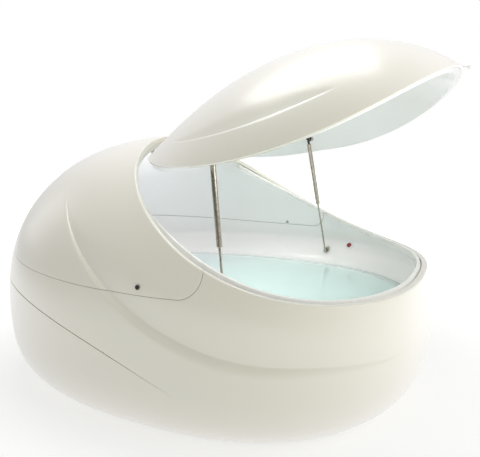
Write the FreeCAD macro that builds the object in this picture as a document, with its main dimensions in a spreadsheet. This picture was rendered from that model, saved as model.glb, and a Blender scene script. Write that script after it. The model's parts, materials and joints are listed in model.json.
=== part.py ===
import FreeCAD, Part
import math
import os
import re
import BOPTools.SplitAPI
import Sketcher
from FreeCAD import Placement, Rotation, Vector

# ---------------------------------------------------------------------------
# Flotation tank: an egg-shaped pod with a tilting lid on two gas struts.
# Millimetres and degrees. +X points to the foot end, +Y to the left of
# somebody lying in the tank, +Z up. The origin lies on the floor under the
# middle of the body. The lid is stored wide open.
# ---------------------------------------------------------------------------

SIZES = {
    # outer body, a closed egg
    "body_half_length": 1126,
    "body_half_width": 850,
    "belt_height": 366,
    "crown_height": 1246,
    "floor_gap": 6,
    "shell_wall": 24,
    "plan_fullness": 2.41,
    "crown_fullness": 2.33,
    "crown_narrowing": 1.25,
    "crown_setback": 106,
    "tuck_depth": 487,
    "tuck_fullness": 3.0,
    # mouth of the body
    "rim_height": 603,
    "rim_flat_end": 1082,
    "rim_climb": 354,
    "rim_climb_power": 2.27,
    "rim_face_turn_height": 700,
    "rim_face_upright_height": 1165,
    "ledge_drop": 12,
    "ledge_thickness": 10,
    "seal_outer_inset": 30,
    "seal_width": 12,
    "seal_clearance": 1,
    "seal_rear_end": 60,
    # liner and basin
    "liner_inset": 50,
    "liner_wall": 10,
    "water_height": 437,
    "water_half_length": 1040,
    "water_half_width": 638,
    "basin_floor_height": 150,
    "basin_blend_height": 560,
    "basin_floor_fullness": 3.5,
    # seams between the body mouldings
    "hood_seam_height": 640,
    "hood_seam_radius": 11000,
    "hood_seam_gap": 3,
    "hood_corner_front": 415,
    "hood_corner_radius": 90,
    "skirt_seam_height": 596,
    "skirt_seam_crest": 1180,
    "skirt_seam_radius": 3418,
    "skirt_gap": 4,
    "skirt_gap_front": 0.8,
    "strip_depth_below": 40,
    "strip_depth_above": 60,
    # swage that sweeps along each side of the body
    "swage_height": 362,
    "swage_climb": 515,
    "swage_climb_power": 1.94,
    "swage_flat_end": 694,
    "swage_rear_end": 430,
    "swage_front_end": 1085,
    "swage_depth": 14,
    "swage_ledge": 48,
    "swage_fade": 200,
    # finer swage on the lid
    "lid_swage_lift": 123,
    "lid_swage_rear": 120,
    "lid_swage_front": 760,
    "lid_swage_depth": 6,
    "lid_swage_ledge": 18,
    "lid_swage_fade": 100,
    # lid
    "lid_gap": 8,
    "lid_wall": 12,
    "lid_depth": 38,
    "lid_liner_wall": 8,
    "lid_flange_height": 14,
    "lid_open_angle": 37.5,
    # lid hinge
    "hinge_setback": 93,
    "hinge_depth": 32,
    "hinge_spacing": 170,
    "hinge_pin_radius": 4,
    "hinge_eye_radius": 9,
    "hinge_bracket_thickness": 10,
    "hinge_bracket_width": 20,
    "hinge_bracket_drop": 112,
    "hinge_bracket_reach": 195,
    "hinge_cheek_thickness": 6,
    "hinge_leaf_length": 80,
    "hinge_pocket_length": 112,
    "side_clearance": 1,
    "running_clearance": 0.05,
    "seat_clearance": 0.3,
    "seat_reach": 24,
    # gas struts
    "strut_foot_x": 442,
    "strut_foot_inset": 205,
    "strut_foot_z": 505,
    "strut_head_x": 367,
    "strut_head_inset": 286,
    "strut_head_z": 1198,
    "strut_rod_radius": 5,
    "strut_tube_radius": 11.5,
    "strut_tube_wall": 1.5,
    "strut_tube_length": 366,
    "strut_gland_length": 24,
    "strut_piston_length": 16,
    "strut_piston_gap": 8,
    "strut_end_gap": 32,
    "socket_radius": 9,
    "socket_width": 18,
    "socket_neck_length": 24,
    "socket_neck_step": 2,
    "ball_radius": 6,
    "stud_radius": 4,
    "stud_base_radius": 15,
    "stud_base_gap": 5,
    "stud_seat": 5,
    "open_pivot_gap": 1.5,
    # hood bolts
    "bolt_x": 151,
    "bolt_height": 672,
    "bolt_radius": 5,
    "bolt_hole_radius": 5.5,
    "bolt_head_radius": 10,
    "bolt_head_height": 6,
    # lid pull knob
    "knob_radius": 9,
    "knob_stem_radius": 3.5,
    "knob_stem_length": 27,
    "knob_tilt": 48,
    "knob_lift": 9,
    # call button on the left wall
    "button_x": 583,
    "button_height": 537,
    "button_radius": 15,
    "button_travel": 3,
    "button_depth": 16,
    "bezel_radius": 31,
    "bezel_height": 6,
    "bezel_tail_length": 22,
    "bezel_wall": 4,
    "ring_round": 4,
    # base frame, saddles and feet
    "foot_radius": 40,
    "foot_height": 18,
    "rail_height": 40,
    "rail_width": 50,
    "rail_half_length": 780,
    "rail_half_spacing": 330,
    "cross_rail_spacing": 600,
    "saddle_spacing": 480,
    "saddle_length": 90,
    "saddle_half_width": 380,
    # water plant beside the basin
    "tray_width": 150,
    "tray_thickness": 8,
    "tray_length": 1250,
    "plant_side": 620,
    "pump_radius": 55,
    "pump_length": 160,
    "pump_x": -485,
    "pump_motor_radius": 45,
    "pump_motor_length": 140,
    "filter_radius": 50,
    "filter_length": 380,
    "filter_x": -375,
    "heater_radius": 32,
    "heater_length": 360,
    "heater_x": 330,
    "control_box_length": 220,
    "control_box_width": 100,
    "control_box_height": 130,
    "control_box_x": 330,
    "pipe_radius": 16,
    "pipe_wall": 3,
    "pipe_bend": 32,
    "crossover_x": -546,
    "fitting_radius": 38,
    "fitting_height": 5,
    "fitting_tail_radius": 22,
    "fitting_tail_length": 14,
    "fitting_x": 470,
    "fitting_z": 300,
}

DOCUMENT = FreeCAD.newDocument("FlotationTank")
SHEET = DOCUMENT.addObject("Spreadsheet::Sheet", "Sizes")
for row, (alias, value) in enumerate(SIZES.items(), start=1):
    SHEET.set("A%d" % row, alias)
    SHEET.set("B%d" % row, str(value))
    SHEET.setAlias("B%d" % row, alias)
DOCUMENT.recompute()

LEFT, RIGHT = 1, -1
SIDES = {"left": LEFT, "right": RIGHT}
CUT_REACH = 3000       # half-length of tools that cut right across the body
SWAGE_REACH = 40       # how far the swage cutters stand off the skin
SWAGE_LIP = 1.0        # how far the edges of the swage cutters lie outside the skin
BELOW_FLOOR = 40       # how far the egg's flat bottom lies below the floor
OVERCUT = 20           # how far cutters run past what they cut
RING_POINTS = 28       # points round one horizontal section
RING_POLES = RING_POINTS + 1
RIM_POINTS = 48        # points round the mouth
NODES = []


def size(alias):
    """A driving dimension, read from the sheet."""
    return float(SHEET.get(alias))


def smooth_step(value):
    value = min(max(value, 0.0), 1.0)
    return value * value * (3 - 2 * value)


# -- closed forms made of horizontal sections --------------------------------

def corner_ray(angle, fullness):
    """Point of a unit superellipse in the direction of the angle."""
    cosine = math.cos(angle)
    sine = math.sin(angle)
    reach = (abs(cosine) ** fullness + abs(sine) ** fullness) ** (-1 / fullness)
    return cosine * reach, sine * reach


def body_section(height, inset=0.0):
    """Half-length, half-width and centre of the egg at one height."""
    belt = size("belt_height")
    half_length = size("body_half_length") - inset
    half_width = size("body_half_width") - inset
    if height < belt:
        share = (belt - height) / (size("tuck_depth") - inset)
        girth = (1 - share ** size("tuck_fullness")) ** (1 / size("tuck_fullness"))
        return half_length * girth, half_width * girth, 0.0
    share = min((height - belt) / (size("crown_height") - inset - belt), 1.0)
    fullness = size("crown_fullness")
    girth = max(1 - share ** fullness, 0.0) ** (1 / fullness)
    centre = -size("crown_setback") * share ** 3
    return half_length * girth, half_width * girth ** size("crown_narrowing"), centre


def crown_heights(bottom, inset, steps=12):
    """Heights from one level to the crown, closer together near the crown."""
    belt = size("belt_height")
    rise = size("crown_height") - inset - belt
    heights = []
    for step in range(steps + 1):
        height = belt + rise * corner_ray(math.pi / 2 * step / steps, size("crown_fullness"))[1]
        if height > bottom + 1:
            heights.append(height)
    heights[-1] = belt + rise
    return heights


def egg_levels(inset, bottom, steps=5):
    """Sections of the egg, from a flat bottom to the crown."""
    belt = size("belt_height")
    heights = [bottom + (belt - bottom) * step / steps for step in range(steps + 1)]
    heights += crown_heights(belt, inset)
    return [(height,) + body_section(height, inset) for height in heights]


def basin_section(height, wall):
    """Section of the hollow that holds the water, or of its moulding."""
    water = size("water_height")
    blend = size("basin_blend_height")
    upper_length, upper_width, centre = body_section(max(height, water), size("liner_inset") - wall)
    share = smooth_step((blend - height) / (blend - water))
    half_length = upper_length + share * (size("water_half_length") + wall - upper_length)
    half_width = upper_width + share * (size("water_half_width") + wall - upper_width)
    depth = max(water - height, 0.0) / (water - size("basin_floor_height") + wall)
    if depth > 0.99999:
        return 0.0, 0.0, centre
    fullness = size("basin_floor_fullness")
    girth = (1 - depth ** fullness) ** (1 / fullness)
    return half_length * girth, half_width * girth, centre


def basin_levels(wall, steps=8):
    """Sections of the basin, from its dished floor up to the crown."""
    water = size("water_height")
    depth = water - size("basin_floor_height") + wall
    blend = size("basin_blend_height")
    heights = []
    for step in range(steps):
        angle = math.pi / 2 * (1 - step / steps)
        heights.append(water - depth * corner_ray(angle, size("basin_floor_fullness"))[1])
    heights += [water, water + (blend - water) * 0.33, water + (blend - water) * 0.67, blend]
    heights += crown_heights(blend + 20, size("liner_inset") - wall)
    return [(height,) + basin_section(height, wall) for height in heights]


def section_points(half_length, half_width, centre, height):
    points = []
    for index in range(RING_POINTS):
        x, y = corner_ray(2 * math.pi * index / RING_POINTS, size("plan_fullness"))
        points.append(Vector(centre + half_length * x, half_width * y, height))
    return points


def sectioned_solid(levels):
    """Smooth closed solid through horizontal sections.

    A level with no length is a pole. Without a pole the bottom is flat.
    """
    round_values = [index / RING_POINTS for index in range(RING_POINTS + 1)]
    rings = []
    for height, half_length, half_width, centre in levels:
        if half_length > 0:
            ring = Part.BSplineCurve()
            ring.interpolate(Points=section_points(half_length, half_width, centre, height),
                             PeriodicFlag=True, Parameters=round_values)
            rings.append(ring.getPoles())
        else:
            rings.append([Vector(centre, 0, height)] * RING_POLES)
    rise_values = [0.0]
    for lower, upper in zip(levels, levels[1:]):
        rise_values.append(rise_values[-1] + math.hypot(upper[0] - lower[0], upper[1] - lower[1]))
    rise_values = [value / rise_values[-1] for value in rise_values]
    columns = []
    for index in range(RING_POLES):
        column = Part.BSplineCurve()
        column.interpolate(Points=[ring_poles[index] for ring_poles in rings], Parameters=rise_values)
        columns.append(column.getPoles())
    faces = []
    bottom_edges = []
    for start, end in ((0.0, 0.5), (0.5, 1.0)):
        surface = Part.BSplineSurface()
        surface.buildFromPolesMultsKnots(columns, ring.getMultiplicities(), column.getMultiplicities(),
                                         ring.getKnots(), column.getKnots(), True, False, 3, 3)
        surface.segment(start, end, 0.0, 1.0)
        face = surface.toShape()
        faces.append(face)
        for edge in face.Edges:
            box = edge.BoundBox
            if not edge.Degenerated and box.ZLength < 0.01 and abs(box.ZMin - levels[0][0]) < 0.01:
                bottom_edges.append(edge)
    if levels[0][1] > 0:
        faces.append(Part.Face(Part.Wire(Part.__sortEdges__(bottom_edges))))
    shell = Part.Shell(faces)
    shell.sewShape()
    solid = Part.Solid(shell)
    if solid.Volume < 0:
        solid.reverse()
    return solid


def egg(inset, bottom=-BELOW_FLOOR):
    """The egg, drawn in by the inset, standing on a flat bottom."""
    return sectioned_solid(egg_levels(inset, bottom))


# -- mouth of the body --------------------------------------------------------

def rim_level(x):
    """Height of the mouth above a place along the body."""
    behind = max(size("rim_flat_end") - x, 0.0) / 1000
    return size("rim_height") + size("rim_climb") * behind ** size("rim_climb_power")


def reach_left(x, lift):
    """How far the egg's skin lies inside the mouth's profile; negative outside."""
    height = rim_level(x) + lift
    if height >= size("crown_height"):
        return -1.0
    half_length, _, centre = body_section(height)
    return 1 - (abs(x - centre) / half_length) ** size("plan_fullness")


def crossing(inside, outside, lift):
    """Place along the body where the mouth meets the middle plane."""
    for _ in range(50):
        middle = (inside + outside) / 2
        if reach_left(middle, lift) > 0:
            inside = middle
        else:
            outside = middle
    return inside


def rim_points(lift):
    """Points round the mouth on the egg's skin, raised by the lift."""
    middle = size("hood_corner_front")
    front = crossing(middle, size("body_half_length") + 1, lift)
    back = crossing(middle, -size("body_half_length"), lift)
    points = []
    for index in range(RIM_POINTS):
        angle = 2 * math.pi * index / RIM_POINTS
        x = (back + front) / 2 + (front - back) / 2 * math.cos(angle)
        height = rim_level(x) + lift
        share = max(reach_left(x, lift), 0.0) if index % (RIM_POINTS // 2) else 0.0
        y = body_section(height)[1] * share ** (1 / size("plan_fullness"))
        points.append(Vector(x, math.copysign(y, math.sin(angle)), height))
    return points


def rim_faces(lift, outward=60, inward=130):
    """Ruled faces across the wall along the mouth.

    They lie flat along the sides and turn upright over the crown, so that
    the lid's tail can swing down inside the hood.
    """
    points = rim_points(lift)
    turn = size("rim_face_turn_height")
    upright = size("rim_face_upright_height")
    outer, inner = [], []
    for index, point in enumerate(points):
        run = points[(index + 1) % RIM_POINTS] - points[index - 1]
        side = Vector(run.y, -run.x, 0).normalize()
        tilt = smooth_step((point.z - turn) / (upright - turn))
        across = Vector(side.x * (1 - tilt), side.y * (1 - tilt), tilt).normalize()
        outer.append(point + across * outward)
        inner.append(point - across * inward)
    round_values = [index / RIM_POINTS for index in range(RIM_POINTS + 1)]
    curves = []
    for ring in (outer, inner):
        curve = Part.BSplineCurve()
        curve.interpolate(Points=ring, PeriodicFlag=True, Parameters=round_values)
        curves.append(curve)
    return [Part.makeRuledSurface(curves[0].toShape(start, end), curves[1].toShape(start, end))
            for start, end in ((0.0, 0.5), (0.5, 1.0))]


def split_at_rim(shape, lift):
    """The lower and the upper piece of a shell cut along the raised mouth."""
    pieces = BOPTools.SplitAPI.slice(shape, rim_faces(lift), "Split", 0.0).Solids
    pieces = sorted(pieces, key=lambda piece: piece.CenterOfMass.z)
    return pieces[0], pieces[-1]


# -- seams --------------------------------------------------------------------

def across_body(wire):
    """Solid that reaches across the whole body from a closed outline in XZ."""
    face = Part.Face(wire)
    face.translate(Vector(0, CUT_REACH, 0))
    return face.extrude(Vector(0, -2 * CUT_REACH, 0))


def arc(start, through, end):
    return Part.Arc(start, through, end).toShape()


def lines(points):
    return [Part.makeLine(first, second) for first, second in zip(points, points[1:])]


def hood_seam_level(x):
    """Height of the hood seam behind its front corner."""
    radius = size("hood_seam_radius")
    behind = min(x - size("hood_corner_front") + size("hood_corner_radius"), 0.0)
    return size("hood_seam_height") + radius - math.sqrt(radius ** 2 - behind ** 2)


def hood_region(grow):
    """Everything above and behind the hood seam, grown outwards."""
    front = size("hood_corner_front") + grow
    radius = size("hood_corner_radius") + grow
    tangent_x = front - radius
    bottom = size("hood_seam_height") - grow
    top = size("crown_height") + 20 * OVERCUT
    rear = -size("body_half_length") - 15 * OVERCUT
    middle = (rear + tangent_x) / 2
    corner = Vector(tangent_x, 0, bottom + radius)
    slant = radius * math.sqrt(0.5)
    edges = [
        arc(Vector(rear, 0, hood_seam_level(rear) - grow), Vector(middle, 0, hood_seam_level(middle) - grow),
            Vector(tangent_x, 0, bottom)),
        arc(Vector(tangent_x, 0, bottom), corner + Vector(slant, 0, -slant), Vector(front, 0, bottom + radius)),
    ]
    edges += lines([Vector(front, 0, bottom + radius), Vector(front, 0, top), Vector(rear, 0, top),
                    Vector(rear, 0, hood_seam_level(rear) - grow)])
    return across_body(Part.Wire(edges))


def skirt_region(gap_rear, gap_front):
    """Everything below the skirt seam, lowered by a gap that narrows forwards."""
    crest = -size("skirt_seam_crest")
    height = size("skirt_seam_height")
    radius = size("skirt_seam_radius")
    reach = math.sqrt(radius ** 2 - (radius - height) ** 2)
    drop = height - gap_rear + gap_front
    radius = (reach ** 2 + drop ** 2) / (2 * drop)
    top = height - gap_rear

    def seam_point(x):
        return Vector(x, 0, top - radius + math.sqrt(radius ** 2 - (x - crest) ** 2))

    rear = crest - 15 * OVERCUT
    front = crest + reach + 3 * OVERCUT
    edges = [arc(seam_point(rear), seam_point((rear + front) / 2), seam_point(front))]
    bottom = -5 * OVERCUT
    edges += lines([seam_point(front), Vector(front, 0, bottom), Vector(rear, 0, bottom), seam_point(rear)])
    return across_body(Part.Wire(edges))


# -- swages -------------------------------------------------------------------

def skin_point(x, height, side):
    """Point of the egg's skin above one place, on one side."""
    half_length, half_width, centre = body_section(height)
    share = 1 - (abs(x - centre) / half_length) ** size("plan_fullness")
    return Vector(x, side * half_width * share ** (1 / size("plan_fullness")), height)


def swage_profile(name, taper):
    """Rise and depth of the corners across a swage: its ledge, then its long hollow."""
    depth, ledge, fade = (size(name + part) * taper for part in ("_depth", "_ledge", "_fade"))
    return [(0, -SWAGE_LIP), (ledge / 2, depth / 3), (ledge, depth), (ledge + fade * 0.28, depth * 0.6),
            (ledge + fade * 0.6, depth * 0.25), (ledge + fade, -SWAGE_LIP)]


def swage_tool(name, level, start, end, side, stations=9):
    """Tapering cutter that leaves a ledge along a line and fades out above it."""
    outlines = []
    for station in range(stations):
        share = station / (stations - 1)
        x = start + (end - start) * share
        taper = max(math.sin(math.pi * share), 0.02) ** 0.7
        here = skin_point(x, level(x), side)
        ahead = skin_point(x + 2, level(x + 2), side) - skin_point(x - 2, level(x - 2), side)
        above = skin_point(x, level(x) + 2, side) - skin_point(x, level(x) - 2, side)
        outward = ahead.cross(above).normalize() * side
        if outward.y * side < 0:
            outward = outward * -1
        up = outward.cross(ahead).normalize()
        if up.z < 0:
            up = up * -1
        corners = []
        for rise, depth in swage_profile(name, taper):
            climb = skin_point(x, level(x) + rise * up.z, side) - here
            corners.append(here + up * climb.dot(up) + outward * (climb.dot(outward) - depth))
        stand_off = outward * SWAGE_REACH
        corners += [corners[-1] + stand_off, corners[0] + stand_off, corners[0]]
        outlines.append(Part.makePolygon(corners))
    return Part.makeLoft(outlines, True, False)


def body_swage_level(x):
    behind = max(size("swage_flat_end") - x, 0.0) / 1000
    return size("swage_height") + size("swage_climb") * behind ** size("swage_climb_power")


def lid_swage_level(x):
    return rim_level(x) + size("lid_swage_lift")


# -- document objects ---------------------------------------------------------

def keep(feature, label):
    """Name an object as a sub-part that is written out."""
    feature.Label = label
    NODES.append(feature)
    return feature


def add_form(name, shape, placement=None):
    """Free-form sub-part or tool whose shape Part's own functions made."""
    feature = DOCUMENT.addObject("Part::Feature", name)
    feature.Shape = shape
    if placement is not None:
        feature.Placement = placement
    return feature


def bind(feature, **expressions):
    """Bind properties of an object to the sheet."""
    for prop, expression in expressions.items():
        feature.setExpression(prop, expression)


def cell(text):
    """Turn bare aliases in an expression into references to the sheet."""
    return re.sub(r"[a-z][a-z_]*", lambda word: "Sizes." * (word.group() in SIZES) + word.group(), text)


def cylinder(name, radius, height, placement):
    feature = DOCUMENT.addObject("Part::Cylinder", name)
    bind(feature, Radius=cell(radius), Height=cell(height))
    feature.Placement = placement
    return feature


def sphere(name, radius, placement):
    feature = DOCUMENT.addObject("Part::Sphere", name)
    bind(feature, Radius=cell(radius))
    feature.Placement = placement
    return feature


def box(name, length, width, height, placement):
    """Box whose placement is the middle of its bottom face."""
    feature = DOCUMENT.addObject("Part::Box", name)
    bind(feature, Length=cell(length), Width=cell(width), Height=cell(height))
    half = Vector(-feature.evalExpression(cell(length)) / 2, -feature.evalExpression(cell(width)) / 2, 0)
    feature.Placement = placement.multiply(Placement(half, Rotation()))
    return feature


def fuse(name, parts):
    feature = DOCUMENT.addObject("Part::MultiFuse", name)
    feature.Shapes = parts
    feature.Refine = True
    return feature


def cut(name, base, tool):
    feature = DOCUMENT.addObject("Part::Cut", name)
    feature.Base = base
    feature.Tool = tool
    return feature


def common(name, base, tool):
    feature = DOCUMENT.addObject("Part::Common", name)
    feature.Base = base
    feature.Tool = tool
    return feature


def draw_outline(sketch, points):
    """Closed outline in a sketch, every corner tied to the sheet.

    Each point is a pair of expressions; "0" puts it on the axis.
    """
    corners = [[sketch.evalExpression(cell(text)) for text in point] for point in points]
    count = len(corners)
    for index in range(count):
        start = corners[index]
        end = corners[(index + 1) % count]
        sketch.addGeometry(Part.LineSegment(Vector(start[0], start[1], 0), Vector(end[0], end[1], 0)))
    for index in range(count):
        sketch.addConstraint(Sketcher.Constraint("Coincident", index, 2, (index + 1) % count, 1))
    for index, point in enumerate(points):
        for kind, axis, text, value in (("DistanceX", -2, point[0], corners[index][0]),
                                        ("DistanceY", -1, point[1], corners[index][1])):
            if text == "0":
                sketch.addConstraint(Sketcher.Constraint("PointOnObject", index, 1, axis))
                continue
            number = sketch.addConstraint(Sketcher.Constraint(kind, -1, 1, index, 1, value))
            label = "%s%d" % (kind, index)
            sketch.renameConstraint(number, label)
            sketch.setExpression("Constraints." + label, cell(text))


def sketch_body(name, plane_role, points):
    """Body with one sketch on one of its own origin planes."""
    body = DOCUMENT.addObject("PartDesign::Body", name)
    sketch = body.newObject("Sketcher::SketchObject", name + "_sketch")
    plane = [item for item in body.Origin.OriginFeatures if item.Role == plane_role][0]
    sketch.AttachmentSupport = [(plane, "")]
    sketch.MapMode = "FlatFace"
    DOCUMENT.recompute()
    draw_outline(sketch, points)
    return body, sketch


def turned_body(name, points, placement):
    """Body turned about its own Z axis from (radius, height) points."""
    body, sketch = sketch_body(name, "XZ_Plane", points)
    turning = body.newObject("PartDesign::Revolution", name + "_turning")
    turning.Profile = sketch
    turning.ReferenceAxis = (sketch, ["V_Axis"])
    turning.Angle = 360
    sketch.Visibility = False
    body.Placement = placement
    return body


# -- places that several sub-parts share ---------------------------------------

def turn_from_z(direction):
    return Rotation(Vector(0, 0, 1), direction)


HINGE_POINT = Vector(-size("hinge_setback"), 0, size("crown_height") - size("hinge_depth"))
LID_SWING = Placement(Vector(), Rotation(Vector(0, -1, 0), size("lid_open_angle")), HINGE_POINT)


def strut_foot(side):
    across = size("body_half_width") - size("strut_foot_inset")
    return Vector(size("strut_foot_x"), side * across, size("strut_foot_z"))


def strut_head(side):
    across = size("body_half_width") - size("strut_head_inset")
    return Vector(size("strut_head_x"), side * across, size("strut_head_z"))


STRUT_SPAN = ("sqrt((strut_head_x - strut_foot_x) ^ 2 + (strut_head_inset - strut_foot_inset) ^ 2"
              " + (strut_head_z - strut_foot_z) ^ 2)")
TUBE_START = "(" + STRUT_SPAN + " - strut_end_gap - strut_tube_length)"


def strut_line(side):
    """Placement at the strut's foot with Z along the strut."""
    return Placement(strut_foot(side), turn_from_z(strut_head(side) - strut_foot(side)))


def skin_frame(x, height, side, inset=0.0):
    """Placement on the egg's skin with Z pointing outwards."""
    def point(place, level):
        half_length, half_width, centre = body_section(level, inset)
        share = 1 - (abs(place - centre) / half_length) ** size("plan_fullness")
        return Vector(place, side * half_width * share ** (1 / size("plan_fullness")), level)
    outward = (point(x + 1, height) - point(x - 1, height)).cross(point(x, height + 1) - point(x, height - 1))
    if outward.y * side < 0:
        outward = outward * -1
    return Placement(point(x, height), turn_from_z(outward))


def basin_wall_frame(x, height, side):
    """Placement on the wet side of the basin's wall with Z pointing inwards."""
    def point(place, level):
        half_length, half_width, centre = basin_section(level, 0.0)
        share = 1 - (abs(place - centre) / half_length) ** size("plan_fullness")
        return Vector(place, side * half_width * share ** (1 / size("plan_fullness")), level)
    inward = (point(x + 1, height) - point(x - 1, height)).cross(point(x, height + 1) - point(x, height - 1))
    if inward.y * side > 0:
        inward = inward * -1
    return Placement(point(x, height), turn_from_z(inward))


def facing_side(side):
    """Rotation that turns Z to point away from the middle plane."""
    return turn_from_z(Vector(0, side, 0))


# -- outer mouldings -------------------------------------------------------------

def build_outer_mouldings():
    wall = size("shell_wall")
    skin = egg(0, size("floor_gap")).cut(egg(wall))
    body_skin, _ = split_at_rim(skin, 0)
    for side in (LEFT, RIGHT):
        body_skin = body_skin.cut(swage_tool(
            "swage", body_swage_level, -size("swage_rear_end"), size("swage_front_end"), side))
    half_gap = size("hood_seam_gap") / 2
    hood = body_skin.common(hood_region(-half_gap))
    for side in (LEFT, RIGHT):
        hood = hood.cut(bolt_hole(side))
    tub = body_skin.cut(hood_region(half_gap))
    skirt = tub.common(skirt_region(size("skirt_gap"), size("skirt_gap_front")))
    tub = tub.cut(skirt_region(0, 0))
    keep(add_form("tub_outer_shell", tub), "tub_outer_shell")
    keep(add_form("rear_service_skirt", skirt), "rear_service_skirt")
    keep(add_form("hood_outer_shell", hood), "hood_outer_shell")


def bolt_hole(side):
    frame = skin_frame(size("bolt_x"), size("bolt_height"), side)
    hole = Part.makeCylinder(size("bolt_hole_radius"), size("liner_inset") * 3,
                             Vector(0, 0, -size("liner_inset") * 2))
    hole.Placement = frame
    return hole


# -- liner, basin and what lies between the skins -----------------------------------

def lined(trim, trim_hollow):
    """Liner moulding with its ledge under the mouth.

    The hollow between the two skins is taken out below the ledge.
    """
    thick = trim(egg(size("shell_wall"))).cut(sectioned_solid(basin_levels(0)))
    thick, _ = split_at_rim(thick, -size("ledge_drop"))
    hollow = trim_hollow(egg(size("shell_wall") - size("ring_round"), -BELOW_FLOOR - OVERCUT))
    hollow = hollow.cut(sectioned_solid(basin_levels(size("liner_wall"))))
    hollow, _ = split_at_rim(hollow, -size("ledge_drop") - size("ledge_thickness"))
    return thick.cut(hollow)


def build_liners():
    half_gap = size("hood_seam_gap") / 2
    basin = lined(lambda solid: solid.cut(hood_region(half_gap)),
                  lambda solid: solid.cut(hood_region(-OVERCUT)))
    for frame in (button_frame(), fitting_frame("suction"), fitting_frame("return")):
        radius = size("button_radius") + size("bezel_wall")
        if frame.Base.z < size("water_height"):
            radius = size("fitting_tail_radius")
        hole = Part.makeCylinder(radius + size("seat_clearance"), 6 * OVERCUT,
                                 Vector(0, 0, -3 * OVERCUT))
        hole.Placement = frame
        basin = basin.cut(hole)
    hood = lined(lambda solid: solid.common(hood_region(-half_gap)),
                 lambda solid: solid.common(hood_region(OVERCUT)))
    for side in (LEFT, RIGHT):
        hood = hood.cut(bolt_hole(side))
    keep(add_form("tub_basin", basin), "tub_basin")
    keep(add_form("hood_liner", hood), "hood_liner")


def build_joint_strip():
    """Tongue between the skins that the hood is bolted to."""
    strip = egg(size("shell_wall")).common(hood_region(size("strip_depth_below")))
    strip = strip.cut(hood_region(-size("strip_depth_above")))
    strip = strip.cut(sectioned_solid(basin_levels(size("liner_wall"))))
    top = -size("ledge_drop") - size("ledge_thickness") - size("side_clearance")
    strip, _ = split_at_rim(strip, top)
    for side in (LEFT, RIGHT):
        strip = strip.cut(bolt_hole(side))
    keep(add_form("hood_joint_strip", strip), "hood_joint_strip")


def ahead_of(x):
    """Everything in front of one place along the body."""
    block = Part.makeBox(CUT_REACH, 2 * CUT_REACH, CUT_REACH)
    block.translate(Vector(x, -CUT_REACH, 0))
    return block


def build_rim_seal():
    """Horseshoe seal that leaves the hinge side open for the lid's tail."""
    seal = egg(size("seal_outer_inset")).cut(egg(size("seal_outer_inset") + size("seal_width")))
    _, seal = split_at_rim(seal, -size("ledge_drop"))
    seal, _ = split_at_rim(seal, size("lid_gap") - size("seal_clearance"))
    seal = seal.common(ahead_of(-size("seal_rear_end")))
    keep(add_form("rim_seal", seal), "rim_seal")


# -- lid ------------------------------------------------------------------------------

def build_lid():
    """Both mouldings of the lid, drawn shut and swung open."""
    outer = egg(0).cut(egg(size("lid_wall")))
    _, outer = split_at_rim(outer, size("lid_gap"))
    for side in (LEFT, RIGHT):
        outer = outer.cut(swage_tool(
            "lid_swage", lid_swage_level, size("lid_swage_rear"), size("lid_swage_front"), side))
    liner = egg(size("lid_wall")).cut(egg(size("lid_depth")))
    _, liner = split_at_rim(liner, size("lid_gap"))
    hollow = egg(size("lid_wall") - 2).cut(egg(size("lid_depth") - size("lid_liner_wall")))
    _, hollow = split_at_rim(hollow, size("lid_gap") + size("lid_flange_height"))
    liner = liner.cut(hollow)
    for side in (LEFT, RIGHT):
        liner = liner.cut(hinge_pocket(side))
    keep(add_form("lid_outer_shell", outer, LID_SWING), "lid_outer_shell")
    keep(add_form("lid_liner", liner, LID_SWING), "lid_liner")


def hinge_pocket(side):
    """Opening in the lid's liner that the hinge bracket passes through."""
    length = size("hinge_pocket_length")
    width = size("hinge_bracket_thickness") + 2 * size("hinge_cheek_thickness")
    width += 4 * size("side_clearance")
    pocket = Part.makeBox(length, width, 3 * OVERCUT)
    pocket.translate(Vector(HINGE_POINT.x - length / 2, side * size("hinge_spacing") / 2 - width / 2,
                            HINGE_POINT.z - 2 * OVERCUT))
    return pocket


def build_knob():
    """Pull knob at the lid's tip, pointing down past the mouth."""
    tip = crossing(size("hood_corner_front"), size("body_half_length") + 1, size("lid_gap"))
    height = size("rim_height") + size("lid_gap") + size("knob_lift")
    tilt = math.radians(size("knob_tilt"))
    direction = Vector(math.cos(tilt), 0, -math.sin(tilt))
    start = Vector(tip, 0, height) - direction * size("lid_wall") / 2
    stem = cylinder("knob_stem", "knob_stem_radius", "knob_stem_length + lid_wall / 2",
                    LID_SWING.multiply(Placement(start, turn_from_z(direction))))
    end = start + direction * (size("knob_stem_length") + size("lid_wall") / 2)
    ball = sphere("knob_ball", "knob_radius",
                  LID_SWING.multiply(Placement(end, turn_from_z(direction))))
    whole = fuse("knob_whole", [stem, ball])
    shell = DOCUMENT.getObject("lid_outer_shell")
    keep(cut("lid_pull_knob", whole, shell), "lid_pull_knob")


# -- hinges ----------------------------------------------------------------------------

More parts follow.
